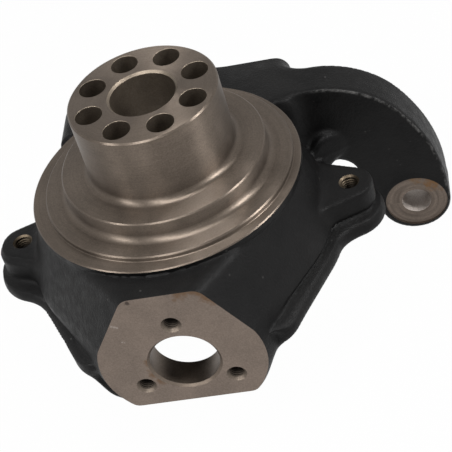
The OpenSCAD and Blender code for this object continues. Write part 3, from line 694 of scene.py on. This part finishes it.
RUST, BRIGHT, GRIME = (0.13, 0.075, 0.04), (0.33, 0.29, 0.26), (0.03, 0.022, 0.02)
FACE_STAINS = [
    near_face(28, 59, 6, RUST), near_face(33, 54, 6, RUST), near_face(23, 63.5, 5, RUST),
    near_face(12, 64, 8, RUST), near_face(-24, -8, 5, RUST), near_face(-21, -15, 5, RUST),
    near_face(-24, 4, 4, RUST), near_face(-39, 43, 1.1, BRIGHT), near_face(-37.3, 42, 1.3, BRIGHT),
    near_face(-35.6, 41.1, 1.0, BRIGHT), near_face(-36, 27, 0.9, BRIGHT), near_face(-34.6, 26.2, 0.9, BRIGHT),
    near_face(-23, 62, 2, GRIME)]
EYE_STAINS = [eye_rust(18, 20, 14, (0.15, 0.075, 0.025)), eye_rust(4, 27, 10, (0.14, 0.08, 0.035))]

cast = cast_material("black_casting", (0.0026, 0.0025, 0.0026), (0.0062, 0.006, 0.0059))
inside = cast_material("casting_inside", (0.004, 0.004, 0.0041), (0.008, 0.008, 0.008))
turned = machined_material("turned_steel", (0.137, 0.111, 0.09), 0.36, "Z", stretch=0.85, rings=0.15)
milled = machined_material("milled_steel", (0.195, 0.155, 0.128), 0.45, stains=FACE_STAINS)
spot_faced = machined_material("spot_faced_steel", (0.14, 0.112, 0.092), 0.42, "Y", (EYE_X, EYE_Z),
                               pitch=0.0034, depth=0.9, rings=0.6, stains=EYE_STAINS)
bored = machined_material("bored_steel", (0.14, 0.112, 0.09), 0.4, "Y")
# Painted light: a much lighter copy of the steel that makes the inside of the eye's hole read light grey.
lit_eye_bored = machined_material("lit_eye_bored_steel", (0.4, 0.36, 0.33), 0.55, "Y", (EYE_X, EYE_Z))
# Painted light: a lighter copy of the steel that brightens the insides of the axle bore, its pockets and the
# carrier holes.
lit_drilled = machined_material("lit_drilled_steel", (0.185, 0.153, 0.12), 0.4, "Z")
# Tapped holes: painted shade down each hole and in its thread roots; the ear holes' steel is also a darker,
# shaded copy.
king_tapped = machined_material("kingpin_thread", (0.16, 0.13, 0.105), 0.4, "Y",
                                thread=(FACE_Y, 8.5, FACE_Y - KINGPIN_TAP_H, KINGPIN_PITCH))
ear_tapped = machined_material("ear_thread", (0.1, 0.078, 0.054), 0.4, "Z",
                               thread=(EAR_TOP, 9, EAR_TAP_LOW, EAR_PITCH))


def edge(r, z, c):
    """A corner at radius r and level z, chamfered by c with softened ends."""
    return [(r, z - c * 1.25), (r - c * 0.06, z - c * 0.95), (r - c * 0.95, z - c * 0.06), (r - c * 1.25, z)]


def foot(r, z, fillet):
    """Fillet at the foot of a cylinder of radius r that stands on level z."""
    return arc([r + fillet, z + fillet], fillet, 270, 180, 14)


def turned_front():
    """Spindle, seal seat and plateau, down into a shallow groove round the plateau."""
    foot_r = PLATEAU_R + FOOT_FILLET
    profile = [(0, RIM_Z - 8), (foot_r - 0.3, RIM_Z - 8), (foot_r - 0.3, RIM_Z - 0.2), (foot_r, RIM_Z)]
    profile += arc([foot_r, RIM_Z + FOOT_FILLET], FOOT_FILLET, 265, 180, 5)
    profile += edge(PLATEAU_R, PLATEAU_Z, SHOULDER_EDGE) + foot(SEAL_R, PLATEAU_Z, SHOULDER_FILLET)
    profile += edge(SEAL_R, SEAL_Z, SHOULDER_EDGE) + foot(SPINDLE_R, SEAL_Z, SPINDLE_FILLET)
    profile += edge(SPINDLE_R, END_Z, SPINDLE_EDGE) + [(0, END_Z)]
    return lathe("front", profile, 256, turned)


def machine_rim(body):
    """Cast side of the rim, turned flat on top and chamfered, off the turned axis as the casting is."""
    place = Matrix.Translation((SHIFT_X, SHIFT_Y, 0))
    above = RIM_Z + 3
    profile = [(0, RIM_LOW - 3), (RIM_R - 3.6, RIM_LOW - 3), (RIM_R - 0.5, RIM_LOW), (RIM_R, RIM_LOW + 1.2),
               (RIM_R, above), (0, above)]
    cut(body, [lathe("rim", profile, 256, cast, place)], "UNION")
    cut(body, [box_cutter("top", (-150, -150, RIM_Z), (150, 150, 120), turned)])
    chamfer = [(RIM_R - 0.8, RIM_Z + 0.05), (RIM_R + 2, RIM_Z - 2.6), (RIM_R + 2, above), (RIM_R - 0.8, above)]
    cut(body, [ring("rim_edge", chamfer, 256, turned, place)])


def bore_axle(body):
    """Seal pocket, bearing pocket and the bore for the axle shaft."""
    low, floor = CEILING_Z - 3, CEILING_Z + SEAL_POCKET_H
    profile = [(0, low), (SEAL_POCKET_R, low), (SEAL_POCKET_R, floor), (BEARING_R, floor),
               (BEARING_R, floor + BEARING_H), (AXLE_R, floor + BEARING_H), (AXLE_R, END_Z - AXLE_EDGE),
               (AXLE_R + AXLE_EDGE + 2, END_Z + 2), (0, END_Z + 2)]
    cut(body, [lathe("axle", profile, 160, lit_drilled)])


def drill_carrier(body):
    """Bush seats in the end face, with the tapped ends below them."""
    low, seat = END_Z - CARRIER_TAP_H, END_Z - BUSH_H
    profile = [(0, low), (CARRIER_TAP_R, low + 3), (CARRIER_TAP_R, seat), (BUSH_R, seat),
               (BUSH_R, END_Z - 0.2), (BUSH_R + 1.2, END_Z + 1), (0, END_Z + 1)]
    places = [at(CARRIER_PHASE + 360 * i / CARRIER_N, CARRIER_PCR) for i in range(CARRIER_N)]
    parts = [(profile, Matrix.Translation((x, y, 0))) for x, y in places]
    cut(body, [solids("carrier", parts, lit_drilled, 64)])


def drill_kingpins(body):
    """Bore, relief behind it and tapped holes of both bosses."""
    relief, sink = KINGPIN_R + 9, KINGPIN_SINK_R - KINGPIN_TAP_R
    bore = [(0, -KINGPIN_WALL - 11), (relief, -KINGPIN_WALL - 11), (relief, -KINGPIN_WALL),
            (KINGPIN_R, -KINGPIN_WALL), (KINGPIN_R, -KINGPIN_EDGE), (KINGPIN_R + KINGPIN_EDGE + 1, 1), (0, 1)]
    turns = threads(KINGPIN_TAP_R, -KINGPIN_TAP_H, 0, KINGPIN_PITCH, KINGPIN_THREAD)
    tap = [(0, -KINGPIN_TAP_H - 2), (KINGPIN_TAP_R, -KINGPIN_TAP_H)] + [p for p in turns if p[1] < -sink - 0.3]
    tap += [(KINGPIN_TAP_R, -sink), (KINGPIN_SINK_R + 1, 1), (0, 1)]
    bores, taps = [], []
    for side in (-1, 1):
        bores.append((bore, along_y(side * FACE_Y, flip=side)))
        for i in range(KINGPIN_TAP_N):
            x, z = at(90 + 360 * i / KINGPIN_TAP_N, KINGPIN_TAP_PCR)
            taps.append((tap, along_y(side * FACE_Y, x, z, side)))
    cut(body, [solids("kingpins", bores, bored, 128), solids("taps", taps, king_tapped, 40)])


def tap_ears(body):
    """Threaded holes right through the ears, with countersinks."""
    sink = EAR_SINK_R - EAR_TAP_R
    turns = threads(EAR_TAP_R, EAR_TAP_LOW, EAR_TOP, EAR_PITCH, EAR_THREAD)
    hole = [(0, EAR_TAP_LOW), (EAR_TAP_R, EAR_TAP_LOW)] + [p for p in turns if p[1] < EAR_TOP - sink - 0.3]
    hole += [(EAR_TAP_R, EAR_TOP - sink), (EAR_SINK_R + 1, EAR_TOP + 1), (0, EAR_TOP + 1)]
    places = [Matrix.Translation((side * EAR_X, side * EAR_Y, 0)) for side in (1, -1)]
    cut(body, [solids("ears", [(hole, place) for place in places], ear_tapped, 48)])


def finish_eye(body):
    """Spot face and taper hole of the arm's eye."""
    place = along_y(ARM_Y, EYE_X, EYE_Z, 1)
    spot = [(0, -9), (EYE_SPOT_R, -9), (EYE_SPOT_R, EYE_SPOT_H), (0, EYE_SPOT_H)]
    far = ARM_T + 3
    hole = [(0, -2), (EYE_HOLE_R + 0.6, EYE_SPOT_H - 1), (EYE_HOLE_R, EYE_SPOT_H + 0.8),
            (EYE_HOLE_R - EYE_TAPER * ARM_T / 2, far), (0, far)]
    cut(body, [solids("spot", [(spot, place)], spot_faced, 96)])
    cut(body, [solids("hole", [(hole, place)], lit_eye_bored, 64)])


def build_housing():
    verts, quads = casting_mesh()
    body = new_object("swivel_housing_visual", verts, quads, cast)
    machine_rim(body)
    cut(body, [turned_front()], "UNION")
    cut(body, [box_cutter("near", (-200, -200, -200), (200, -FACE_Y, 200), milled),
               box_cutter("far", (-200, FACE_Y, -200), (200, 200, 200), milled)])
    cut(body, [hollow_mesh(inside)])
    bore_axle(body)
    drill_carrier(body)
    drill_kingpins(body)
    tap_ears(body)
    finish_eye(body)
    return body


def shade_smooth(obj, angle):
    mesh = obj.data
    mesh.validate()
    mesh.shade_smooth()
    mesh.set_sharp_from_angle(angle=math.radians(angle))


housing = build_housing()
shade_smooth(housing, 28)
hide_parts("swivel_housing")
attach(housing, "root")


def make_world():
    """White to the camera and at the horizon of a reflection, darker overhead, and plain for diffuse light."""
    world = bpy.data.worlds.new("studio")
    bpy.context.scene.world = world
    world.use_nodes = True
    tree = world.node_tree
    path = tree.nodes.new("ShaderNodeLightPath").outputs
    coords = tree.nodes.new("ShaderNodeTexCoord")
    split = tree.nodes.new("ShaderNodeSeparateXYZ")
    tree.links.new(coords.outputs["Generated"], split.inputs[0])
    height = math_node(tree, "MINIMUM", math_node(tree, "MAXIMUM", split.outputs["Z"], 0.0), SKY_RISE)
    darker = math_node(tree, "MULTIPLY", height, (1 - SKY_TOP) / SKY_RISE)
    over_diffuse = math_node(tree, "SUBTRACT", 1.0 - SKY_DIFFUSE, darker)
    glossy = math_node(tree, "MULTIPLY", path["Is Glossy Ray"], over_diffuse)
    seen = math_node(tree, "MAXIMUM", path["Is Camera Ray"], path["Is Transmission Ray"])
    level = math_node(tree, "MAXIMUM", math_node(tree, "ADD", SKY_DIFFUSE, glossy), seen)
    back = tree.nodes["Background"]
    back.inputs["Color"].default_value = (1, 1, 1, 1)
    tree.links.new(level, back.inputs["Strength"])


def make_floor():
    """Grey floor under the part, which keeps its shadow and looks white to the camera and in reflections."""
    mesh = bpy.data.meshes.new("floor")
    h, z = FLOOR_HALF, float(cad_box[0][2]) - FLOOR_GAP
    corners = [(-h, -h, z), (h, -h, z), (h, h, z), (-h, h, z)]
    mesh.from_pydata(corners, [], [(0, 1, 2, 3)])
    floor = bpy.data.objects.new("floor", mesh)
    bpy.context.scene.collection.objects.link(floor)
    n = Nodes("floor_white")
    n.to("Base Color", n.mix(n.noise(3, 1), (0.35, 0.35, 0.35), (0.36, 0.36, 0.36)))
    n.to("Roughness", 0.8)
    glow = n.add("Emission", Color=(1, 1, 1, 1), Strength=1.0)
    path = n.add("LightPath").outputs
    seen = n.math("MAXIMUM", path["Is Camera Ray"], path["Is Glossy Ray"])
    share = n.math("MULTIPLY", seen, FLOOR_WHITE)
    blend = n.add("MixShader", {0: share, 1: n.shader.outputs[0], 2: glow.outputs[0]})
    n.tree.links.new(blend.outputs[0], n.tree.nodes["Material Output"].inputs["Surface"])
    mesh.materials.append(n.mat)


def soft_box(name, azimuth, elevation, size, power):
    """Area lamp at an azimuth from +X and an elevation, aimed at the foot of the spindle."""
    data = bpy.data.lights.new(name, "AREA")
    data.shape, data.size, data.size_y = "RECTANGLE", size[0], size[1]
    data.energy = power
    obj = bpy.data.objects.new(name, data)
    bpy.context.scene.collection.objects.link(obj)
    a, e = math.radians(azimuth), math.radians(elevation)
    toward = Vector((math.cos(e) * math.cos(a), math.cos(e) * math.sin(a), math.sin(e)))
    obj.location = LAMP_AIM + LAMP_FAR * toward
    obj.rotation_euler = (-toward).to_track_quat("-Z", "Y").to_euler()


def make_camera():
    data = bpy.data.cameras.new("camera")
    data.sensor_width = 36.0
    data.sensor_fit = "HORIZONTAL"
    data.angle = 2 * math.atan(HALF_PICTURE_PX / FOCAL_PX)
    data.clip_end = 20
    obj = bpy.data.objects.new("camera", data)
    bpy.context.scene.collection.objects.link(obj)
    right, back = CAMERA_RIGHT.normalized(), CAMERA_BACK.normalized()
    up = back.cross(right).normalized()
    right = up.cross(back)
    turn = Matrix((right, up, back)).transposed().to_4x4()
    obj.matrix_world = Matrix.Translation(CAMERA_PLACE) @ turn
    bpy.context.scene.camera = obj


make_world()
make_floor()
soft_box("front", -103, 50, (0.35, 0.3), 8)
soft_box("left", -146, 35, (0.3, 0.6), 8.5)
soft_box("right", -11, 33, (0.22, 0.6), 17)
soft_box("top", -80, 84, (0.5, 0.5), 13)
make_camera()
bpy.context.scene.view_settings.view_transform = "Standard"
